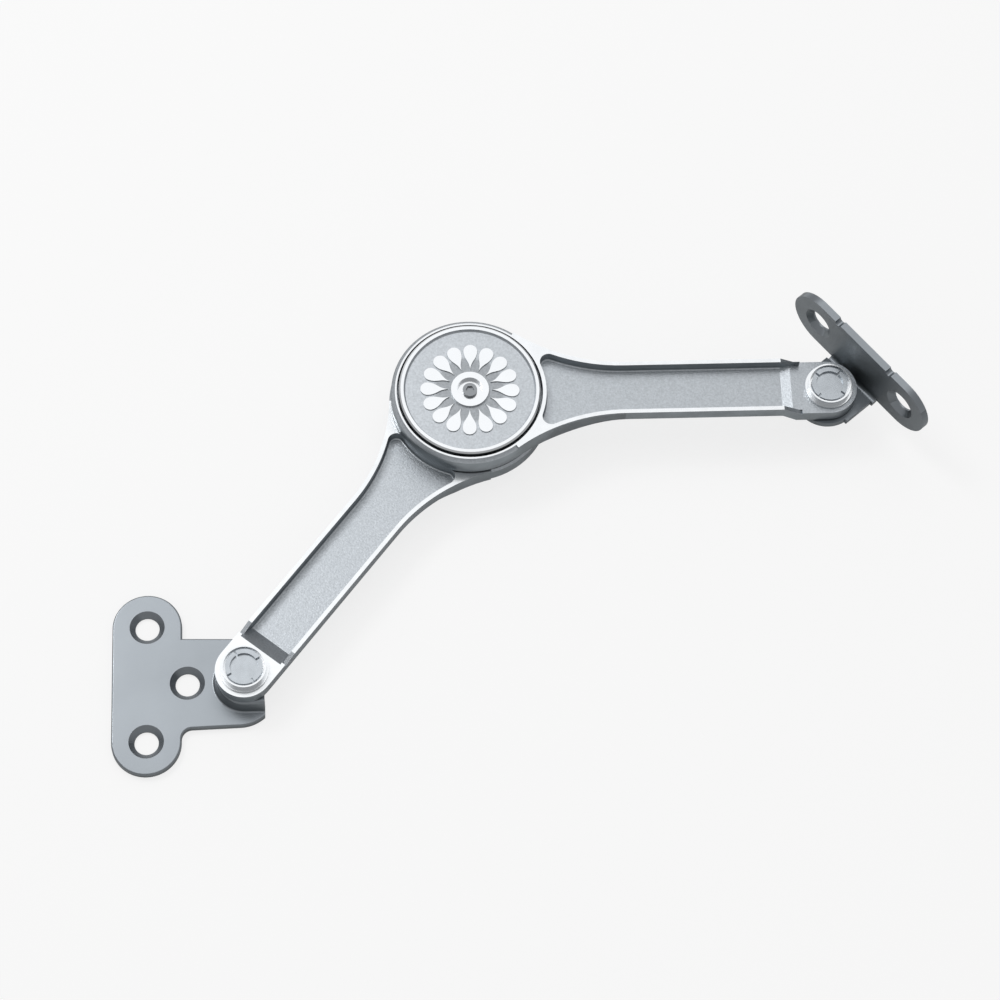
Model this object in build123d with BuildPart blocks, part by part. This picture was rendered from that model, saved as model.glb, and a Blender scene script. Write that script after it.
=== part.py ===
from build123d import *
import os
from math import cos, radians, sin, tan

# Friction lid stay: a stamped side plate, two die-cast arms on an adjustable friction hub, and a bent lid
# bracket. Millimetres, +Z up, away from the cabinet side. The origin lies midway between the side plate's
# two outer screw holes, on the plate's back face; +X runs from those holes to the plate's pivot.

os.makedirs("parts", exist_ok=True)

# ---- Driving sizes ----------------------------------------------------------------------------------
arm_centres = 98.0  # hub axis to outer pivot axis, on both arms
arm_half_width = 7.7
lower_arm_angle = 51.1  # directions at rest, from +X: plate pivot to hub
upper_arm_angle = 0.0  # hub to lid pivot
bracket_angle = 38.8  # way that the lid bracket's screw flange faces
screw_pitch = 32.0  # both plates' outer screw holes
screw_hole_r = 3.2
countersink_r = 4.65
countersink_angle = 90
edge_round = 0.45  # stamped upper edge of the sheet pieces

# Fits and clearances
running_gap = 0.05  # radial, between a shaft and its bush
axial_gap = 0.05  # between faces that slide on each other
loose_gap = 0.15  # between pieces that only pass each other

# Side plate
side_sheet = 2.0
pivot_from_holes = 26.1
middle_hole_from_holes = 10.7
side_lobe_r = 9.2
web_root_half_width = 12.9
web_end_half_width = 12.2
web_corner_r = 2.8
shelf_rise = 4.8
shelf_r = 7.7
shelf_draft = 8.0  # lean of the shelf's wall from the upright, in degrees
side_end = 5.0  # how far the plate runs past its pivot
side_end_half_width = 9.6
side_shoulder = 1.4  # where the web starts to narrow, short of the pivot
shelf_edge_r = 0.9
shelf_foot_r = 0.5

# Pivots, the same at both ends
pin_r = 4.0
pin_tenon_r = 3.0
pin_thread_r = 3.7
rivet_r = 4.9
rivet_t = 1.3
bush_wall = 0.8
thrust_washer_t = 0.35
thrust_washer_r = 7.0
cup_r = 5.85
cup_wall = 0.45
cup_foot_r = 6.5
cup_foot_t = 0.6
cup_h = 2.6
nut_r = 4.9
nut_h = 1.75
nut_slots = 4
nut_slot_w = 0.55
nut_slot_depth = 0.9
pin_recess = 0.75  # pin's end below the nut's top
side_nut_turn = 30.0
lid_nut_turn = 49.0

# Arms
arm_depth = 4.0
pocket_depth = 3.3
rim_w = 1.1
flare_end = 42.0  # from the hub axis, where the arm's sides turn straight
pocket_end_inset = 0.5  # pocket's inner end, inside the upper hub's radius
pocket_corner_r = 2.4
pocket_foot_r = 0.5
lower_ramp = (11.3, 6.8)  # pocket floor's ramp up to the lug: start and end, from the outer pivot
upper_ramp = (13.0, 10.3)
lower_run_out = (11.5, 7.5)  # rims' slope down to the lug: start and end, from the outer pivot
upper_run_out = (13.0, 7.75)
lower_run_out_drop = 1.3
upper_run_out_drop = 0.5  # below the lug's top
upper_lug_drop = 2.65  # lug's top below the upper arm's rims
upper_lug_t = 4.2
crank = (13.0, 9.0)  # upper lug's underside, cranked down: start and end, from the outer pivot

# Hub
lower_hub_t = 5.2
lower_hub_chamfer = 0.6
upper_hub_r = 21.3
lower_hub_step = 0.5  # lower hub's edge beyond the upper hub's
upper_hub_h = 6.2
upper_hub_floor = 1.8
upper_hub_chamfer = 1.0
hub_wall = 1.5
blend_from_hub = 0.2  # undersides start to change level this far beyond the lower hub's edge
upper_blend_length = 22.0  # upper arm's underside rises from the hub's to the strip's
lower_blend_length = 5.0
middle_disc_inset = 0.9  # disc's edge inside the upper hub's
middle_disc_t = 0.55
upper_disc_inset = 0.6  # disc's edge inside the pressure plate's
upper_disc_t = 0.7
spindle_r = 5.0
spindle_key_r = 6.0
key_flat = 5.0  # lower hub's flats, from the axis
plate_flat = 4.2  # pressure plate's flats, from the axis
spindle_head_r = 7.5
spindle_head_t = 1.8
spindle_washer_r = 9.5
spindle_washer_t = 0.6
hub_bush_wall = 1.2
pressure_plate_gap = 0.6  # to the cap's skirt
pressure_plate_t = 1.2
spring_r = 9.0
spring_t = 0.5
spring_cone = 0.3
cap_gap = 0.6  # cap to the hub's wall
cap_rim_w = 1.7
cap_plate_t = 1.15
cap_rim_h = 0.8  # rim's top above the field
cap_skirt_wall = 1.2
petals = 16
petal_tip_r = 6.0
petal_end_r = 13.4
petal_half_w = 1.85
petal_h = 0.35
petal_turn = -2.4
collar_r = 5.13
collar_neck_r = 4.3
collar_bore_r = 3.4
collar_flange_t = 0.7
collar_floor_t = 0.5
screw_head_r = 1.95
screw_head_h = 0.9
screw_shank_r = 1.5
screw_length = 8.0
screw_socket_af = 2.0
screw_socket_depth = 0.6

# Lid bracket
bracket_sheet = 2.0
bracket_round_r = 8.8  # pivot flange's end, and half the neck's width
bracket_gap = 1.5  # screw flange's inner face, beyond the arm's round end
bracket_bend_r = 1.3
screw_flange_h = 18.0
screw_flange_shift = 1.2  # screw flange's middle, sideways from the pivot
relief_r = 1.0

# ---- Places and levels, worked out from the sizes above -----------------------------------------------


def ahead(start, angle, length):
    """The point a length away from another, in a direction in degrees from +X."""
    return (start[0] + length * cos(radians(angle)), start[1] + length * sin(radians(angle)))


side_pivot = (pivot_from_holes, 0.0)
hub = ahead(side_pivot, lower_arm_angle, arm_centres)
lid_pivot = ahead(hub, upper_arm_angle, arm_centres)

lower_hub_r = upper_hub_r + lower_hub_step
hub_recess_r = upper_hub_r - hub_wall
pocket_end_r = upper_hub_r - pocket_end_inset
middle_disc_r = upper_hub_r - middle_disc_inset
cap_r = hub_recess_r - cap_gap
cap_field_r = cap_r - cap_rim_w
pressure_plate_r = cap_r - cap_skirt_wall - pressure_plate_gap
upper_disc_r = pressure_plate_r - upper_disc_inset
blend_start = lower_hub_r + blend_from_hub
underside_blend = (blend_start, blend_start + upper_blend_length)
lower_blend = (blend_start, blend_start + lower_blend_length)
bracket_face = arm_half_width + bracket_gap

shelf_top = shelf_rise + side_sheet
lower_lug_foot = shelf_top + thrust_washer_t + axial_gap
lower_top = lower_lug_foot + arm_depth
lower_hub_foot = lower_top - lower_hub_t
middle_disc_top = lower_top + middle_disc_t
upper_hub_foot = middle_disc_top + axial_gap
upper_top = upper_hub_foot + upper_hub_h
upper_floor_top = upper_hub_foot + upper_hub_floor
upper_disc_top = upper_floor_top + upper_disc_t
pressure_plate_foot = upper_disc_top + axial_gap
pressure_plate_top = pressure_plate_foot + pressure_plate_t
spring_h = spring_t + spring_cone
cap_plate_foot = pressure_plate_top + 2 * spring_h
cap_skirt_foot = pressure_plate_foot + loose_gap
cap_field = cap_plate_foot + cap_plate_t
upper_lug_top = upper_top - upper_lug_drop
upper_lug_foot = upper_lug_top - upper_lug_t
bracket_top = upper_lug_foot - thrust_washer_t - axial_gap
bracket_foot = bracket_top - bracket_sheet


def upright(at):
    """The upright axis through a point."""
    return Axis((at[0], at[1], 0), (0, 0, 1))


def half_section(at, points):
    """A round piece's half section beside its upright axis, from corners of (radius, height)."""
    with BuildSketch(Plane(origin=(at[0], at[1], 0), x_dir=(1, 0, 0), z_dir=(0, -1, 0))) as section:
        with BuildLine():
            Polyline(*points, close=True)
        make_face()
    return section.sketch


def ring(inner_r, outer_r, foot, top):
    """Corners of a plain ring's half section."""
    return [(inner_r, foot), (outer_r, foot), (outer_r, top), (inner_r, top)]


def level_plane(at, angle, height):
    """A level plane at a point and height, with its own +X in a given direction."""
    along = radians(angle)
    return Plane(origin=(at[0], at[1], height), x_dir=(cos(along), sin(along), 0), z_dir=(0, 0, 1))


def side_on_plane(at, angle):
    """An upright plane through a point: its +X runs in a given direction, and its +Y is up."""
    along = radians(angle)
    return Plane(
        origin=(at[0], at[1], 0), x_dir=(cos(along), sin(along), 0), z_dir=(sin(along), -cos(along), 0)
    )


def flats(plane, radius, half_width):
    """A round with two flats, the section of the hub's keyed shaft and holes."""
    with BuildSketch(plane) as section:
        Circle(radius)
        Rectangle(2 * radius, 2 * half_width, mode=Mode.INTERSECT)
    return section.sketch


# ---- Side plate: one stamping, its middle raised into a shelf that carries the pivot --------------------


def shelf_outline(height, radius):
    """The raised shelf's outline at a height: round about the pivot, and open towards the plate's end."""
    with BuildSketch(Plane.XY.offset(height)) as outline:
        with Locations(side_pivot):
            Circle(radius)
        with Locations((side_pivot[0] + side_end, 0)):
            Rectangle(2 * side_end, 2 * radius)
    return outline.sketch


def on_shelf_edge(edge, height, reach):
    """Whether an edge lies level at a height, along the shelf's outline."""
    middle = edge.center()
    level = abs(edge.bounding_box().size.Z) < 1e-3 and abs(middle.Z - height) < 1e-3
    beside = abs(abs(middle.Y) - reach) < 1e-2 and middle.X > side_pivot[0]
    around = edge.geom_type == GeomType.CIRCLE and abs(edge.radius - reach) < 1e-2
    return level and (beside or around)


with BuildPart() as side_plate:
    with BuildSketch() as side_outline:
        with BuildLine():
            web = Line((0, web_root_half_width), (side_pivot[0] - side_shoulder, web_end_half_width))
            shoulder = TangentArc(web @ 1, (side_pivot[0] + side_end, side_end_half_width), tangent=web % 1)
            Polyline(shoulder @ 1, (side_pivot[0] + side_end, 0), (0, 0), web @ 0)
        make_face()
        mirror(about=Plane.XZ)
        SlotCenterToCenter(screw_pitch, 2 * side_lobe_r, rotation=90)
        crotches = side_outline.vertices().filter_by_position(Axis.X, side_lobe_r / 2, side_lobe_r)
        fillet(crotches.filter_by(lambda corner: abs(corner.Y) < screw_pitch / 2), web_corner_r)
    extrude(amount=side_sheet)
    rims = side_plate.faces().sort_by(Axis.Z)[-1].edges()
    fillet(rims.filter_by(lambda edge: edge.center().X < side_pivot[0] + side_end / 2), edge_round)
    shelf_foot = shelf_r + shelf_rise * tan(radians(shelf_draft))
    extrude(shelf_outline(side_sheet, shelf_foot), amount=shelf_rise, taper=shelf_draft)
    extrude(shelf_outline(0, shelf_foot - side_sheet), amount=shelf_rise, taper=shelf_draft, mode=Mode.SUBTRACT)
    split(bisect_by=Plane.YZ.offset(side_pivot[0] + side_end), keep=Keep.BOTTOM)
    fillet(side_plate.edges().filter_by(lambda edge: on_shelf_edge(edge, shelf_top, shelf_r)), shelf_edge_r)
    fillet(side_plate.edges().filter_by(lambda edge: on_shelf_edge(edge, side_sheet, shelf_foot)), shelf_foot_r)
    with Locations((side_pivot[0], side_pivot[1], shelf_top)):
        Hole(pin_tenon_r)
    with Locations(Plane.XY.offset(side_sheet)):
        with Locations((0, screw_pitch / 2), (0, -screw_pitch / 2), (middle_hole_from_holes, 0)):
            CounterSinkHole(screw_hole_r, countersink_r, counter_sink_angle=countersink_angle)
side_plate.part.label = "side_plate"
export_step(side_plate.part, "parts/side_plate.step")


# ---- Pivots: pin riveted into a plate, washer, bush in the arm's lug, cup washer and slotted ring nut ----


def pivot_pin(at, plate_foot, plate_top, lug_top):
    """A shouldered pin: riveted foot, tenon through the plate, bearing shank and threaded end."""
    shoulder = lug_top + axial_gap
    end = shoulder + cup_foot_t + nut_h - pin_recess
    with BuildPart() as pin:
        corners = [
            (0, plate_foot - rivet_t),
            (rivet_r - rivet_t / 2, plate_foot - rivet_t),
            (rivet_r, plate_foot - rivet_t / 2),
            (rivet_r, plate_foot),
            (pin_tenon_r, plate_foot),
            (pin_tenon_r, plate_top),
            (pin_r, plate_top),
            (pin_r, shoulder),
            (pin_thread_r, shoulder),
            (pin_thread_r, end),
            (0, end),
        ]
        revolve(half_section(at, corners), axis=upright(at))
    return pin.part


def thrust_washer(at, plate_top):
    """A flat washer between a plate and the lug that turns on it."""
    with BuildPart() as washer:
        inner_r = pin_r + loose_gap
        corners = ring(inner_r, thrust_washer_r, plate_top, plate_top + thrust_washer_t)
        revolve(half_section(at, corners), axis=upright(at))
    return washer.part


def lug_bush(at, lug_foot, lug_top):
    """A plain bush pressed into an arm's lug, which the pin turns in."""
    with BuildPart() as bush:
        inner_r = pin_r + running_gap
        revolve(half_section(at, ring(inner_r, inner_r + bush_wall, lug_foot, lug_top)), axis=upright(at))
    return bush.part


def cup_washer(at, lug_top):
    """The cup that hides the nut's sides: a foot on the pin's shoulder, and an upright wall."""
    foot = lug_top + axial_gap
    top = lug_top + cup_h
    with BuildPart() as cup:
        corners = [
            (pin_thread_r, foot),
            (cup_foot_r, foot),
            (cup_foot_r, foot + cup_foot_t),
            (cup_r, foot + cup_foot_t),
            (cup_r, top),
            (cup_r - cup_wall, top),
            (cup_r - cup_wall, foot + cup_foot_t),
            (pin_thread_r, foot + cup_foot_t),
        ]
        revolve(half_section(at, corners), axis=upright(at))
    return cup.part


def ring_nut(at, lug_top, turn):
    """The slotted round nut on the pin's threaded end."""
    foot = lug_top + axial_gap + cup_foot_t
    with BuildPart() as nut:
        revolve(half_section(at, ring(pin_thread_r, nut_r, foot, foot + nut_h)), axis=upright(at))
        with BuildSketch(level_plane(at, turn, foot + nut_h)):
            with PolarLocations(nut_r, nut_slots):
                Rectangle(nut_r, nut_slot_w)
        extrude(amount=-nut_slot_depth, mode=Mode.SUBTRACT)
    return nut.part


lug_bore_r = pin_r + running_gap + bush_wall

for end, at, plate_foot, plate_top, lug_foot, lug_top, turn in (
    ("side", side_pivot, shelf_rise, shelf_top, lower_lug_foot, lower_top, side_nut_turn),
    ("lid", lid_pivot, bracket_foot, bracket_top, upper_lug_foot, upper_lug_top, lid_nut_turn),
):
    for name, piece in (
        ("pin", pivot_pin(at, plate_foot, plate_top, lug_top)),
        ("washer", thrust_washer(at, plate_top)),
        ("bush", lug_bush(at, lug_foot, lug_top)),
        ("cup", cup_washer(at, lug_top)),
        ("nut", ring_nut(at, lug_top, turn)),
    ):
        piece.label = end + "_" + name
        export_step(piece, "parts/" + piece.label + ".step")

# ---- Arms: each one casting, a hub and a channelled strip ending in a lug --------------------------------


def arm_outline(plane, hub_r, half_width):
    """An arm's plan without its hub's round: flares tangent to the hub, straight sides and a round end."""
    flare_r = (flare_end**2 + half_width**2 - hub_r**2) / (2 * (hub_r - half_width))
    share = hub_r / (hub_r + flare_r)
    with BuildSketch(plane) as outline:
        with BuildLine():
            root = Line((0, 0), (flare_end * share, (half_width + flare_r) * share))
            flare = TangentArc((flare_end, half_width), root @ 1, tangent=(-1, 0))
            side = Line(flare @ 0, (arm_centres, half_width))
            end = TangentArc(side @ 1, (arm_centres + half_width, 0), tangent=(1, 0))
            Line(end @ 1, root @ 0)
        make_face()
        mirror(about=Plane.XZ)
    return outline.sketch


def arm_side(plane, foot_points, top_points):
    """An arm's side view between its underside and its top, as lists of (distance from hub, height)."""
    with BuildSketch(plane) as view:
        with BuildLine():
            Polyline(*foot_points, *top_points, close=True)
        make_face()
    return view.sketch


def pocket_tool(angle, hub_r, rim_top, lug_top, ramp):
    """The pocket between an arm's rims, with its corners rounded and its floor ramped up to the lug."""
    floor = rim_top - pocket_depth
    ramp_start = arm_centres - ramp[0]
    ramp_end = arm_centres - ramp[1]
    with BuildPart() as pocket:
        with BuildSketch(level_plane(hub, angle, floor)) as plan:
            add(arm_outline(Plane.XY, hub_r - rim_w, arm_half_width - rim_w))
            Circle(pocket_end_r, mode=Mode.SUBTRACT)
            with Locations((ramp_end + arm_half_width, 0)):
                Rectangle(2 * arm_half_width, 2 * arm_half_width, mode=Mode.SUBTRACT)
            corners = plan.vertices().filter_by(lambda corner: abs(corner.Y) > arm_half_width)
            fillet(corners, pocket_corner_r)
        extrude(amount=pocket_depth)
        fillet(pocket.edges().group_by(Axis.Z)[0].filter_by(GeomType.LINE, reverse=True), pocket_foot_r)
        below_ramp = arm_side(
            side_on_plane(hub, angle),
            [(ramp_start, floor), (ramp_end, lug_top), (ramp_end + rim_w, lug_top)],
            [(ramp_end + rim_w, floor - 1), (ramp_start, floor - 1)],
        )
        extrude(below_ramp, amount=2 * arm_half_width, both=True, mode=Mode.SUBTRACT)
    return pocket.part


def run_out_tool(angle, rim_top, run_out, end_height):
    """The two notches where an arm's rims slope down and stop short of its lug."""
    start = (arm_centres - run_out[0], rim_top)
    stop = arm_centres - run_out[1]
    inner = arm_half_width - rim_w
    above = rim_top + 1
    slope = arm_side(
        side_on_plane(hub, angle), [start, (stop, end_height)], [(stop, above), (start[0], above)]
    )
    with BuildPart() as notches:
        extrude(slope, amount=arm_half_width + 1, both=True)
        middle = level_plane(hub, angle, 0)
        with BuildSketch(middle):
            Rectangle(3 * arm_centres, 2 * inner)
        extrude(amount=2 * rim_top, mode=Mode.SUBTRACT)
    return notches.part


lower_angle = lower_arm_angle + 180
lower_view = side_on_plane(hub, lower_angle)
upper_view = side_on_plane(hub, upper_arm_angle)
arm_end = arm_centres + arm_half_width + 1
lower_pocket = pocket_tool(lower_angle, lower_hub_r, lower_top, lower_top, lower_ramp)
upper_pocket = pocket_tool(upper_arm_angle, upper_hub_r, upper_top, upper_lug_top, upper_ramp)
lower_notches = run_out_tool(lower_angle, lower_top, lower_run_out, lower_top - lower_run_out_drop)
upper_notches = run_out_tool(upper_arm_angle, upper_top, upper_run_out, upper_lug_top - upper_run_out_drop)

with BuildPart() as lower_arm:
    plan = arm_outline(level_plane(hub, lower_angle, lower_hub_foot), lower_hub_r, arm_half_width)
    extrude(plan, amount=lower_hub_t)
    underside = [
        (0, lower_hub_foot),
        (lower_blend[0], lower_hub_foot),
        (lower_blend[1], lower_lug_foot),
        (arm_end, lower_lug_foot),
    ]
    view = arm_side(lower_view, underside, [(arm_end, lower_top), (0, lower_top)])
    extrude(view, amount=lower_hub_r, both=True, mode=Mode.INTERSECT)
    hub_corners = [
        (0, lower_hub_foot),
        (lower_hub_r - lower_hub_chamfer, lower_hub_foot),
        (lower_hub_r, lower_hub_foot + lower_hub_chamfer),
        (lower_hub_r, lower_top - lower_hub_chamfer),
        (lower_hub_r - lower_hub_chamfer, lower_top),
        (0, lower_top),
    ]
    revolve(half_section(hub, hub_corners), axis=upright(hub))
    add(lower_pocket, mode=Mode.SUBTRACT)
    add(lower_notches, mode=Mode.SUBTRACT)
    key_hole = flats(level_plane(hub, lower_angle, lower_hub_foot), spindle_key_r, key_flat)
    extrude(key_hole, amount=lower_hub_t, mode=Mode.SUBTRACT)
    with Locations((side_pivot[0], side_pivot[1], lower_top)):
        Hole(lug_bore_r)
lower_arm.part.label = "lower_arm"
export_step(lower_arm.part, "parts/lower_arm.step")

with BuildPart() as upper_arm:
    plan = arm_outline(level_plane(hub, upper_arm_angle, upper_lug_foot), upper_hub_r, arm_half_width)
    extrude(plan, amount=upper_top - upper_lug_foot)
    strip_foot = upper_top - arm_depth
    with BuildSketch(upper_view):
        with BuildLine():
            level = Line((0, upper_hub_foot), (underside_blend[0], upper_hub_foot))
            rise = Spline(level @ 1, (underside_blend[1], strip_foot), tangents=[(1, 0), (1, 0)])
            Polyline(
                rise @ 1,
                (arm_centres - crank[0], strip_foot),
                (arm_centres - crank[1], upper_lug_foot),
                (arm_end, upper_lug_foot),
                (arm_end, upper_lug_top),
                (arm_centres - upper_run_out[1], upper_lug_top),
                (arm_centres - upper_run_out[1], upper_top),
                (0, upper_top),
                level @ 0,
            )
        make_face()
    extrude(amount=upper_hub_r, both=True, mode=Mode.INTERSECT)
    hub_corners = [
        (0, upper_hub_foot),
        (upper_hub_r, upper_hub_foot),
        (upper_hub_r, upper_top - upper_hub_chamfer),
        (upper_hub_r - upper_hub_chamfer, upper_top),
        (0, upper_top),
    ]
    revolve(half_section(hub, hub_corners), axis=upright(hub))
    add(upper_pocket, mode=Mode.SUBTRACT)
    add(upper_notches, mode=Mode.SUBTRACT)
    recess = half_section(hub, ring(0, hub_recess_r, upper_floor_top, upper_top))
    revolve(recess, axis=upright(hub), mode=Mode.SUBTRACT)
    with Locations((lid_pivot[0], lid_pivot[1], upper_lug_top)):
        Hole(lug_bore_r)
    hub_bore_r = spindle_r + running_gap + hub_bush_wall
    with Locations((hub[0], hub[1], upper_floor_top)):
        Hole(hub_bore_r)
upper_arm.part.label = "upper_arm"
export_step(upper_arm.part, "parts/upper_arm.step")

# ---- Hub: spindle keyed to the lower arm, friction discs, pressure plate, disc springs, cap and screw ----

spindle_head_foot = lower_hub_foot - spindle_washer_t - spindle_head_t
spindle_top = cap_plate_foot - loose_gap
collar_foot = cap_plate_foot
collar_floor = collar_foot + collar_floor_t
collar_top = cap_field + collar_flange_t

with BuildPart() as hub_spindle:
    head_corners = [
        (0, spindle_head_foot),
        (spindle_head_r - spindle_head_t / 3, spindle_head_foot),
        (spindle_head_r, spindle_head_foot + spindle_head_t / 3),
        (spindle_head_r, lower_hub_foot - spindle_washer_t),
        (spindle_r, lower_hub_foot - spindle_washer_t),
        (spindle_r, spindle_top),
        (0, spindle_top),
    ]
    revolve(half_section(hub, head_corners), axis=upright(hub))
    key_plane = level_plane(hub, lower_angle, lower_hub_foot - spindle_washer_t)
    extrude(flats(key_plane, spindle_key_r, key_flat), amount=lower_hub_t + spindle_washer_t)
    with BuildSketch(level_plane(hub, lower_angle, pressure_plate_foot)):
        Circle(spindle_r)
        Rectangle(2 * spindle_r, 2 * plate_flat, mode=Mode.SUBTRACT)
    extrude(amount=spindle_top - pressure_plate_foot, mode=Mode.SUBTRACT)
    with Locations((hub[0], hub[1], spindle_top)):
        Hole(screw_shank_r + running_gap, depth=screw_length + 1)
hub_spindle.part.label = "hub_spindle"
export_step(hub_spindle.part, "parts/hub_spindle.step")

with BuildPart() as spindle_washer:
    corners = ring(spindle_key_r + loose_gap, spindle_washer_r, lower_hub_foot - spindle_washer_t, lower_hub_foot)
    revolve(half_section(hub, corners), axis=upright(hub))
spindle_washer.part.label = "spindle_washer"
export_step(spindle_washer.part, "parts/spindle_washer.step")

with BuildPart() as middle_disc:
    corners = ring(spindle_r + loose_gap, middle_disc_r, lower_top, middle_disc_top)
    revolve(half_section(hub, corners), axis=upright(hub))
middle_disc.part.label = "middle_disc"
export_step(middle_disc.part, "parts/middle_disc.step")

with BuildPart() as hub_bush:
    corners = ring(spindle_r + running_gap, hub_bore_r, upper_hub_foot, upper_floor_top)
    revolve(half_section(hub, corners), axis=upright(hub))
hub_bush.part.label = "hub_bush"
export_step(hub_bush.part, "parts/hub_bush.step")

with BuildPart() as upper_disc:
    corners = ring(hub_bore_r - hub_bush_wall / 2, upper_disc_r, upper_floor_top, upper_disc_top)
    revolve(half_section(hub, corners), axis=upright(hub))
upper_disc.part.label = "upper_disc"
export_step(upper_disc.part, "parts/upper_disc.step")

with BuildPart() as pressure_plate:
    with BuildSketch(level_plane(hub, lower_angle, pressure_plate_foot)):
        Circle(pressure_plate_r)
        add(flats(level_plane((0, 0), 0, 0), spindle_r + running_gap, plate_flat + running_gap), mode=Mode.SUBTRACT)
    extrude(amount=pressure_plate_t)
pressure_plate.part.label = "pressure_plate"
export_step(pressure_plate.part, "parts/pressure_plate.step")

spring_bore_r = spindle_r + loose_gap
lower_spring_section = [
    (spring_r, pressure_plate_top),
    (spring_r, pressure_plate_top + spring_t),
    (spring_bore_r, pressure_plate_top + spring_h),
    (spring_bore_r, pressure_plate_top + spring_cone),
]
upper_spring_section = [
    (spring_r, cap_plate_foot),
    (spring_r, cap_plate_foot - spring_t),
    (spring_bore_r, cap_plate_foot - spring_h),
    (spring_bore_r, cap_plate_foot - spring_cone),
]
for name, section in (("lower_spring", lower_spring_section), ("upper_spring", upper_spring_section)):
    with BuildPart() as spring:
        revolve(half_section(hub, section), axis=upright(hub))
    spring.part.label = name
    export_step(spring.part, "parts/" + name + ".step")

cap_rim_top = cap_field + cap_rim_h
cap_rim_run = (cap_r - cap_field_r) / 4


def petal(plane):
    """One drop-shaped petal's outline: a round outer end, and flanks that draw in to a point."""
    round_r = petal_end_r - petal_half_w
    with BuildSketch(plane) as drop:
        with BuildLine():
            tip = (petal_tip_r, 0)
            waist = (petal_tip_r + (round_r - petal_tip_r) / 3, petal_half_w / 4)
            flank = Spline(tip, waist, (round_r, petal_half_w), tangents=[(1, 0.1), (1, 0)])
            TangentArc(flank @ 1, (petal_end_r, 0), tangent=(1, 0))
            Line((petal_end_r, 0), tip)
        make_face()
        mirror(about=Plane.XZ)
    return drop.sketch


with BuildPart() as hub_cap:
    cap_corners = [
        (collar_neck_r, cap_plate_foot),
        (cap_r - cap_skirt_wall, cap_plate_foot),
        (cap_r - cap_skirt_wall, cap_skirt_foot),
        (cap_r, cap_skirt_foot),
        (cap_r, cap_rim_top - cap_rim_run),
        (cap_r - cap_rim_run, cap_rim_top),
        (cap_field_r + cap_rim_run, cap_rim_top),
        (cap_field_r, cap_field),
        (collar_neck_r, cap_field),
    ]
    revolve(half_section(hub, cap_corners), axis=upright(hub))
    with BuildSketch(level_plane(hub, petal_turn, cap_field)):
        with PolarLocations(0, petals):
            add(petal(Plane.XY))
    extrude(amount=petal_h)
hub_cap.part.label = "hub_cap"
export_step(hub_cap.part, "parts/hub_cap.step")

with BuildPart() as cap_collar:
    collar_corners = [
        (screw_shank_r + loose_gap, collar_foot),
        (collar_neck_r, collar_foot),
        (collar_neck_r, cap_field),
        (collar_r, cap_field),
        (collar_r, collar_top),
        (collar_bore_r, collar_top),
        (collar_bore_r, collar_floor),
        (screw_shank_r + loose_gap, collar_floor),
    ]
    revolve(half_section(hub, collar_corners), axis=upright(hub))
cap_collar.part.label = "cap_collar"
export_step(cap_collar.part, "parts/cap_collar.step")

with BuildPart() as adjusting_screw:
    screw_head_foot = collar_floor + axial_gap
    screw_corners = [
        (0, spindle_top - screw_length),
        (screw_shank_r, spindle_top - screw_length),
        (screw_shank_r, screw_head_foot),
        (screw_head_r, screw_head_foot),
        (screw_head_r, screw_head_foot + screw_head_h),
        (0, screw_head_foot + screw_head_h),
    ]
    revolve(half_section(hub, screw_corners), axis=upright(hub))
    with BuildSketch(level_plane(hub, 0, screw_head_foot + screw_head_h)):
        RegularPolygon(screw_socket_af / 2, 6, major_radius=False)
    extrude(amount=-screw_socket_depth, mode=Mode.SUBTRACT)
adjusting_screw.part.label = "adjusting_screw"
export_step(adjusting_screw.part, "parts/adjusting_screw.step")

# ---- Lid bracket: one bent stamping, a pivot flange and an upright screw flange --------------------------

facing = level_plane(lid_pivot, bracket_angle, bracket_foot)
bend_view = side_on_plane(lid_pivot, bracket_angle)
bracket_back = bracket_face + bracket_sheet
screw_flange_foot = bracket_top
screw_flange_middle = screw_flange_foot + screw_flange_h / 2
screw_flange_plane = Plane(
    origin=bend_view.from_local_coords((bracket_face, screw_flange_middle, screw_flange_shift)),
    x_dir=facing.y_dir,
    z_dir=-facing.x_dir,
)

with BuildPart() as lid_bracket:
    with BuildSketch(facing):
        Circle(bracket_round_r)
        with Locations((bracket_face / 2 - bracket_bend_r, -screw_flange_shift / 2)):
            Rectangle(bracket_face, 2 * bracket_round_r)
    extrude(amount=bracket_sheet)
    with BuildSketch(bend_view.offset(screw_flange_shift)):
        with BuildLine():
            bend_start = bracket_face - bracket_bend_r
            inner = TangentArc(
                (bend_start, bracket_top), (bracket_face, bracket_top + bracket_bend_r), tangent=(1, 0)
            )
            outer = TangentArc(
                (bend_start, bracket_foot), (bracket_back, bracket_top + bracket_bend_r), tangent=(1, 0)
            )
            Line(inner @ 0, outer @ 0)
            Polyline(inner @ 1, (bracket_face, screw_flange_middle), (bracket_back, screw_flange_middle), outer @ 1)
        make_face()
    extrude(amount=bracket_round_r, both=True)
    with BuildSketch(screw_flange_plane):
        SlotOverall(screw_pitch + screw_flange_h, screw_flange_h)
    extrude(amount=-bracket_sheet)
    with BuildSketch(screw_flange_plane):
        with Locations(
            (bracket_round_r + relief_r, -screw_flange_h / 2),
            (-bracket_round_r - relief_r, -screw_flange_h / 2),
        ):
            Circle(relief_r)
    extrude(amount=-bracket_sheet, mode=Mode.SUBTRACT)
    with Locations(screw_flange_plane):
        with GridLocations(screw_pitch, 0, 2, 1):
            CounterSinkHole(screw_hole_r, countersink_r, counter_sink_angle=countersink_angle)
    with Locations((lid_pivot[0], lid_pivot[1], bracket_top)):
        Hole(pin_tenon_r)
lid_bracket.part.label = "lid_bracket"
export_step(lid_bracket.part, "parts/lid_bracket.step")
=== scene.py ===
from math import radians

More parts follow.
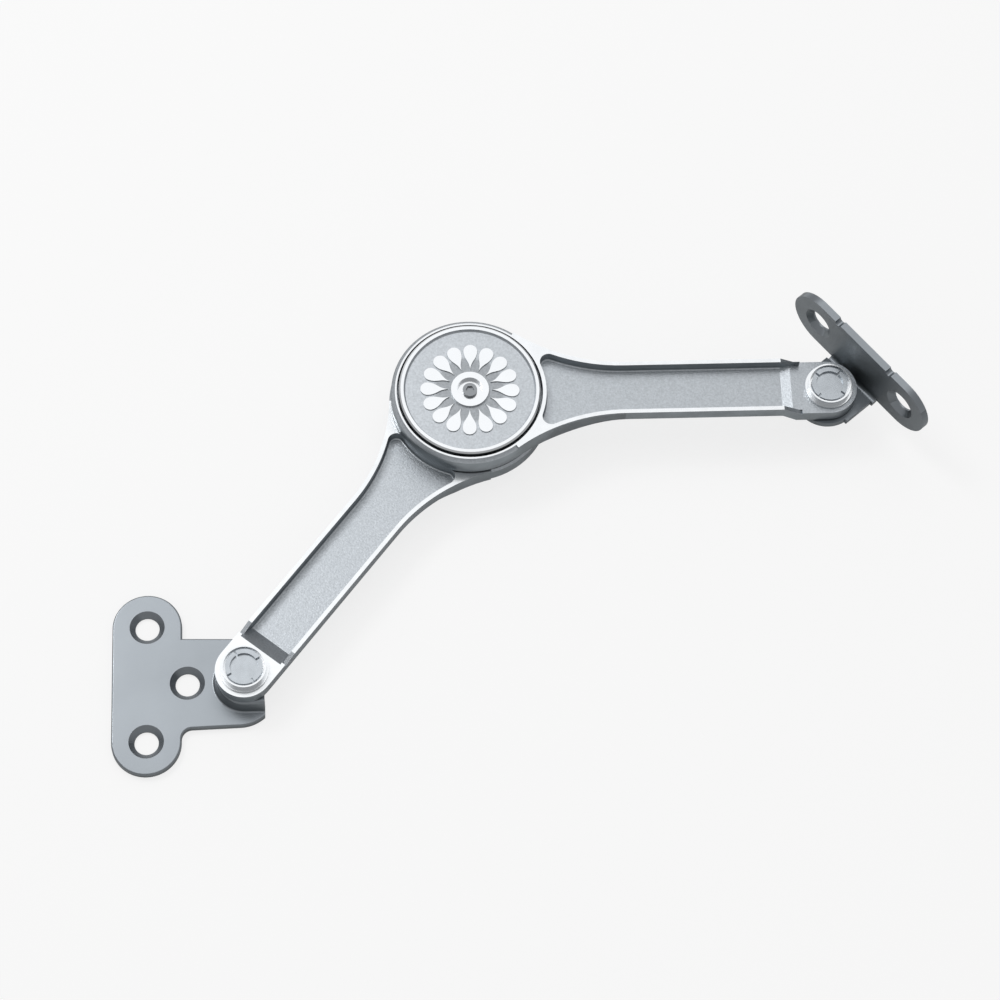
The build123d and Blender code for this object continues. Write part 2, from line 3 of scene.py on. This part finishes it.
import bmesh
import bpy
from mathutils import Euler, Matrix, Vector


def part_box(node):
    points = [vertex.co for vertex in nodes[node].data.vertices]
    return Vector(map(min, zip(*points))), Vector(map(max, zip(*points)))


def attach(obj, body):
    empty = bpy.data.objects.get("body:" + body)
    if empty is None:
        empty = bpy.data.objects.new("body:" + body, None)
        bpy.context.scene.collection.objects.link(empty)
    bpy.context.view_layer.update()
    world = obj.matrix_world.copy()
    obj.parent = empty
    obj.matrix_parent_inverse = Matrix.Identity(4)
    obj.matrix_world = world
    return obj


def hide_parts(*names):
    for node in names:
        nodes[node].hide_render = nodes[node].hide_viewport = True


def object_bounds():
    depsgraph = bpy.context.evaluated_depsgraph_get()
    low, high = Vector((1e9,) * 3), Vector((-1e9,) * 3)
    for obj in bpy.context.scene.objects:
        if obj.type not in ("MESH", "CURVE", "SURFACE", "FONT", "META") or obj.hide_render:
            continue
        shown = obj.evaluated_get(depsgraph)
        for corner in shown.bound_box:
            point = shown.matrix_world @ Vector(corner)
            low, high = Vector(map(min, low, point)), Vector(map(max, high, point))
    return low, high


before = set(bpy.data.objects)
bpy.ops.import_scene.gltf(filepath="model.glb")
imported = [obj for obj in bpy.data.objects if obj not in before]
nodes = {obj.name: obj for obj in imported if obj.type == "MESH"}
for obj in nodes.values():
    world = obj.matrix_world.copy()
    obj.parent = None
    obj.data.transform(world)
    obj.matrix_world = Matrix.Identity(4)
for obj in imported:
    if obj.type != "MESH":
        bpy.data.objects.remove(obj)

cad_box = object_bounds()
mm = 0.001

# ---- Side plate and lid bracket --------------------------------------------------------------------
# Two steel stampings, blanked, bent and drilled, then tumbled and plated with satin nickel. The faces
# keep a fine, even grain, and the bent-up faces and cut edges are painted darker, as painted shade.

noise_band = (0.3, 0.7)  # where most of a noise texture's values lie
roughness_band = (0.85, 1.15)  # how far the grain takes the roughness either way


def metal(name, colour, roughness, grain, grain_size, cloud=0.0, cloud_size=20.0):
    """A plated metal: fine grain in its roughness and bump, and clouding in its colour."""
    material = bpy.data.materials.new(name)
    material.use_nodes = True
    tree = material.node_tree
    shader = tree.nodes["Principled BSDF"]
    shader.inputs["Metallic"].default_value = 1.0
    place = tree.nodes.new("ShaderNodeTexCoord")

    def noise(size_mm, detail):
        texture = tree.nodes.new("ShaderNodeTexNoise")
        texture.inputs["Scale"].default_value = 1 / (size_mm * mm)
        texture.inputs["Detail"].default_value = detail
        tree.links.new(place.outputs["Object"], texture.inputs["Vector"])
        return texture

    def spread(texture, low, high):
        mapping = tree.nodes.new("ShaderNodeMapRange")
        mapping.inputs["From Min"].default_value = noise_band[0]
        mapping.inputs["From Max"].default_value = noise_band[1]
        mapping.inputs["To Min"].default_value = low
        mapping.inputs["To Max"].default_value = high
        tree.links.new(texture.outputs["Fac"], mapping.inputs["Value"])
        return mapping

    fine = noise(grain_size, 3.0)
    clouds = noise(cloud_size, 4.0)
    rougher = spread(fine, roughness * roughness_band[0], roughness * roughness_band[1])
    tree.links.new(rougher.outputs["Result"], shader.inputs["Roughness"])
    mixed = tree.nodes.new("ShaderNodeMix")
    mixed.data_type = "RGBA"
    mixed.inputs["A"].default_value = (*[c * (1 - cloud) for c in colour], 1)
    mixed.inputs["B"].default_value = (*[c * (1 + cloud) for c in colour], 1)
    tree.links.new(spread(clouds, 0.0, 1.0).outputs["Result"], mixed.inputs["Factor"])
    tree.links.new(mixed.outputs["Result"], shader.inputs["Base Color"])
    bump = tree.nodes.new("ShaderNodeBump")
    bump.inputs["Distance"].default_value = grain * mm
    tree.links.new(fine.outputs["Fac"], bump.inputs["Height"])
    tree.links.new(bump.outputs["Normal"], shader.inputs["Normal"])
    return material


def dress(node, material):
    """Gives a CAD piece one finish in place of the one it came with."""
    slots = nodes[node].data.materials
    slots.clear()
    slots.append(material)


def finish_faces(piece, *rules):
    """Gives a piece its finishes: the first, then each other one on the faces that its rule picks."""
    slots = piece.data.materials
    slots.clear()
    for material, _ in rules:
        slots.append(material)
    to_world = piece.matrix_world
    turn = to_world.to_3x3()
    for face in piece.data.polygons:
        face.material_index = 0
        centre = to_world @ face.center
        normal = (turn @ face.normal).normalized()
        for index, (_, picks) in enumerate(rules[1:], 1):
            if picks(centre, normal):
                face.material_index = index


satin_nickel = metal("satin_nickel", (0.29, 0.315, 0.34), 0.34, 0.01, 0.25, cloud=0.05)
# Bent-up faces and cut edges take this darker nickel: painted shade, chosen by how steeply a face stands.
plate_edge_painted_shade = metal("plate_edge_painted_shade", (0.22, 0.24, 0.255), 0.42, 0.01, 0.25, cloud=0.12, cloud_size=12.0)
wall_lean = 0.6  # upward share of a normal below which a face counts as a wall
for plate in ("side_plate", "lid_bracket"):
    finish_faces(
        nodes[plate],
        (satin_nickel, None),
        (plate_edge_painted_shade, lambda at, normal: abs(normal.z) < wall_lean),
    )

# ---- Arms ------------------------------------------------------------------------------------------
# Zinc die castings, barrel-polished and nickel-plated. The channels keep the fine pebbled skin of the
# mould, the tops of the rims and of the hub's edge are polished and painted lighter as a painted highlight,
# and the sides are satin and painted darker as painted shade.

cast_nickel = metal("cast_nickel", (0.46, 0.49, 0.52), 0.40, 0.05, 0.35, cloud=0.12, cloud_size=0.5)
# Rim tops: polished, and painted lighter than the channel as a painted highlight.
bright_rim_polish_and_highlight = metal("bright_rim_polish_and_highlight", (0.74, 0.76, 0.78), 0.24, 0.004, 0.4, cloud=0.04, cloud_size=3.0)
# Sides: painted darker than the channel, as painted shade.
wall_painted_shade_nickel = metal("wall_painted_shade_nickel", (0.30, 0.33, 0.35), 0.36, 0.015, 0.3, cloud=0.12, cloud_size=6.0)
near = 0.05 * mm


def dress_arm(piece, rim_top):
    """A casting's finishes: pebbled channel, satin sides painted darker as shade, polished tops of the rims
    and hub's edge painted lighter as a highlight.
    """
    finish_faces(
        piece,
        (cast_nickel, None),
        (wall_painted_shade_nickel, lambda at, normal: abs(normal.z) < wall_lean),
        (bright_rim_polish_and_highlight, lambda at, normal: normal.z > wall_lean and at.z > rim_top - near),
    )


dress_arm(nodes["lower_arm"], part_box("lower_arm")[1].z)

# The upper casting's channel runs out openly onto its lug, so the metal that would close its end between
# the floor's ramp and the lug is cut away here. Its rims slope down to the lug on both sides.

ramp_end = 10.3 * mm  # from the lid pivot's axis
lug_start = 7.75 * mm
channel_half_width = 6.6 * mm
lid_pivot = (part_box("lid_pin")[0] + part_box("lid_pin")[1]) / 2
lug_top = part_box("lid_bush")[1].z
arm_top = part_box("upper_arm")[1].z
cutter_low = Vector((lid_pivot.x - ramp_end - near, lid_pivot.y - channel_half_width, lug_top))
cutter_high = Vector((lid_pivot.x - lug_start + near, lid_pivot.y + channel_half_width, arm_top + mm))
cutter_mesh = bpy.data.meshes.new("channel_end")
build = bmesh.new()
bmesh.ops.create_cube(build, size=1.0)
for corner in build.verts:
    corner.co = [
        low + (share + 0.5) * (high - low)
        for low, high, share in zip(cutter_low, cutter_high, corner.co)
    ]
build.to_mesh(cutter_mesh)
build.free()
cutter = bpy.data.objects.new("channel_end", cutter_mesh)
bpy.context.scene.collection.objects.link(cutter)
upper_casting = bpy.data.objects.new("upper_casting", nodes["upper_arm"].data.copy())
upper_casting.matrix_world = nodes["upper_arm"].matrix_world
bpy.context.scene.collection.objects.link(upper_casting)
cut = upper_casting.modifiers.new("channel_end", "BOOLEAN")
cut.operation = "DIFFERENCE"
cut.solver = "EXACT"
cut.object = cutter
bpy.context.view_layer.update()
shape = bpy.data.meshes.new_from_object(upper_casting.evaluated_get(bpy.context.evaluated_depsgraph_get()))
upper_casting.modifiers.clear()
upper_casting.data = shape
bpy.data.objects.remove(cutter)
dress_arm(upper_casting, arm_top)
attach(upper_casting, "upper_arm")
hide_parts("upper_arm")

# ---- Hub -------------------------------------------------------------------------------------------
# The cap is a casting with a matte field, a polished rim and polished petals, and its collar is turned.
# The rim and petals are also painted lighter as a painted highlight, and the cap's sides darker as painted
# shade.
# Inside are a steel spindle, plate and springs, fibre discs and bronze bushes, as in the two pivots.

field_nickel = metal("field_nickel", (0.50, 0.53, 0.56), 0.42, 0.03, 0.3, cloud=0.12, cloud_size=0.5)
# Polished nickel, painted lighter than the field: partly real polish, partly a painted highlight.
polish_and_highlight_nickel = metal("polish_and_highlight_nickel", (0.74, 0.76, 0.78), 0.18, 0.004, 0.4, cloud=0.03)
cap_field = 18.3 * mm  # the field's height, below the rim
rosette_r = 10.0 * mm  # the field is painted darker between the petals than outside them, as painted shade
rosette_painted_shade = 0.68
polish_lean = 0.2  # upward share of a normal above which a raised face of the cap is polished and painted lighter as a highlight
cap_low, cap_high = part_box("hub_cap")
tree = field_nickel.node_tree
shader = tree.nodes["Principled BSDF"]
colour = shader.inputs["Base Color"].links[0].from_socket
place = tree.nodes.new("ShaderNodeTexCoord")
from_axis = tree.nodes.new("ShaderNodeVectorMath")
from_axis.operation = "DISTANCE"
from_axis.inputs[1].default_value = ((cap_low.x + cap_high.x) / 2, (cap_low.y + cap_high.y) / 2, cap_field)
tree.links.new(place.outputs["Object"], from_axis.inputs[0])
# Painted shade: the field's colour is scaled down inside the rosette, between the petals.
shade = tree.nodes.new("ShaderNodeMapRange")
shade.inputs["From Min"].default_value = rosette_r - mm
shade.inputs["From Max"].default_value = rosette_r
shade.inputs["To Min"].default_value = rosette_painted_shade
shade.inputs["To Max"].default_value = 1.0
tree.links.new(from_axis.outputs["Value"], shade.inputs["Value"])
shaded = tree.nodes.new("ShaderNodeVectorMath")
shaded.operation = "SCALE"
tree.links.new(colour, shaded.inputs["Vector"])
tree.links.new(shade.outputs["Result"], shaded.inputs["Scale"])
tree.links.new(shaded.outputs["Vector"], shader.inputs["Base Color"])
finish_faces(
    nodes["hub_cap"],
    (field_nickel, None),
    (wall_painted_shade_nickel, lambda at, normal: abs(normal.z) < wall_lean),
    (polish_and_highlight_nickel, lambda at, normal: normal.z > polish_lean and at.z > cap_field + near),
)
head_nickel = metal("head_nickel", (0.42, 0.45, 0.48), 0.28, 0.006, 0.3, cloud=0.06, cloud_size=2.0)
# The collar and the pivot cups take the same lighter nickel: polished, and partly a painted highlight.
for piece in ("cap_collar", "side_cup", "lid_cup"):
    dress(piece, polish_and_highlight_nickel)
for piece in ("side_nut", "lid_nut", "side_pin", "lid_pin"):
    dress(piece, head_nickel)
plain_steel = metal("plain_steel", (0.26, 0.275, 0.29), 0.35, 0.006, 0.3, cloud=0.1)
for piece in ("hub_spindle", "spindle_washer", "pressure_plate", "lower_spring", "upper_spring",
              "side_washer", "lid_washer", "adjusting_screw"):
    dress(piece, plain_steel)
friction_fibre = metal("friction_fibre", (0.05, 0.05, 0.048), 0.7, 0.03, 0.3, cloud=0.2, cloud_size=1.0)
sintered_bronze = metal("sintered_bronze", (0.32, 0.25, 0.16), 0.5, 0.02, 0.3, cloud=0.1, cloud_size=1.0)
for piece in ("middle_disc", "upper_disc"):
    dress(piece, friction_fibre)
for piece in ("hub_bush", "side_bush", "lid_bush"):
    dress(piece, sintered_bronze)

# ---- Studio ----------------------------------------------------------------------------------------
# A white floor, a small soft key lamp to the upper left, and a broad dim panel that the flat faces reflect.
# The floor is lifted towards white where the camera sees it, and keeps the stay's soft shadow.

floor_mesh = bpy.data.meshes.new("floor")
build = bmesh.new()
floor_r = 4.0
bmesh.ops.create_circle(build, cap_ends=True, segments=96, radius=floor_r)
build.to_mesh(floor_mesh)
build.free()
floor = bpy.data.objects.new("floor", floor_mesh)
floor_gap = 0.3 * mm  # keeps the floor clear of the plate's back face
floor.location.z = -floor_gap
bpy.context.scene.collection.objects.link(floor)
floor_paint = bpy.data.materials.new("floor_paint")
floor_paint.use_nodes = True
paint = floor_paint.node_tree.nodes["Principled BSDF"]
paint.inputs["Base Color"].default_value = (0.93, 0.93, 0.93, 1)
paint.inputs["Roughness"].default_value = 0.9
lift = 0.78  # share of plain white in what the camera sees of the floor
paint_tree = floor_paint.node_tree
rays = paint_tree.nodes.new("ShaderNodeLightPath")
seen = paint_tree.nodes.new("ShaderNodeMath")
seen.operation = "MULTIPLY"
seen.inputs[1].default_value = lift
white = paint_tree.nodes.new("ShaderNodeEmission")
blend = paint_tree.nodes.new("ShaderNodeMixShader")
paint_tree.links.new(rays.outputs["Is Camera Ray"], seen.inputs[0])
paint_tree.links.new(seen.outputs["Value"], blend.inputs["Fac"])
paint_tree.links.new(paint.outputs["BSDF"], blend.inputs[1])
paint_tree.links.new(white.outputs["Emission"], blend.inputs[2])
paint_tree.links.new(blend.outputs["Shader"], paint_tree.nodes["Material Output"].inputs["Surface"])
floor_mesh.materials.append(floor_paint)


def softbox(name, spot, aim, width, height, power):
    """A rectangular lamp that looks at a point."""
    lamp = bpy.data.lights.new(name, "AREA")
    lamp.shape = "RECTANGLE"
    lamp.size = width
    lamp.size_y = height
    lamp.energy = power
    holder = bpy.data.objects.new(name, lamp)
    holder.location = spot
    holder.rotation_mode = "QUATERNION"
    holder.rotation_quaternion = (Vector(spot) - Vector(aim)).to_track_quat("Z", "Y")
    bpy.context.scene.collection.objects.link(holder)
    return holder


middle = (cad_box[0] + cad_box[1]) / 2
softbox("key", middle + Vector((-0.45, 0.35, 0.75)), middle, 0.25, 0.25, 1.7)
softbox("panel", middle + Vector((-0.1, 0.45, 1.05)), middle, 1.1, 1.1, 3.1)

world = bpy.data.worlds.new("studio")
bpy.context.scene.world = world
world.use_nodes = True
world.node_tree.nodes["Background"].inputs["Color"].default_value = (1, 1, 1, 1)
world.node_tree.nodes["Background"].inputs["Strength"].default_value = 0.45

camera_data = bpy.data.cameras.new("camera")
camera_data.lens = 108.8
camera_data.sensor_width = 36.0
camera = bpy.data.objects.new("camera", camera_data)
camera.location = (0.058157, -0.276792, 0.755152)
camera.rotation_euler = Euler((radians(23.5665), radians(-1.8652), radians(-2.2077)))
bpy.context.scene.collection.objects.link(camera)
bpy.context.scene.camera = camera
bpy.context.scene.view_settings.view_transform = "Standard"
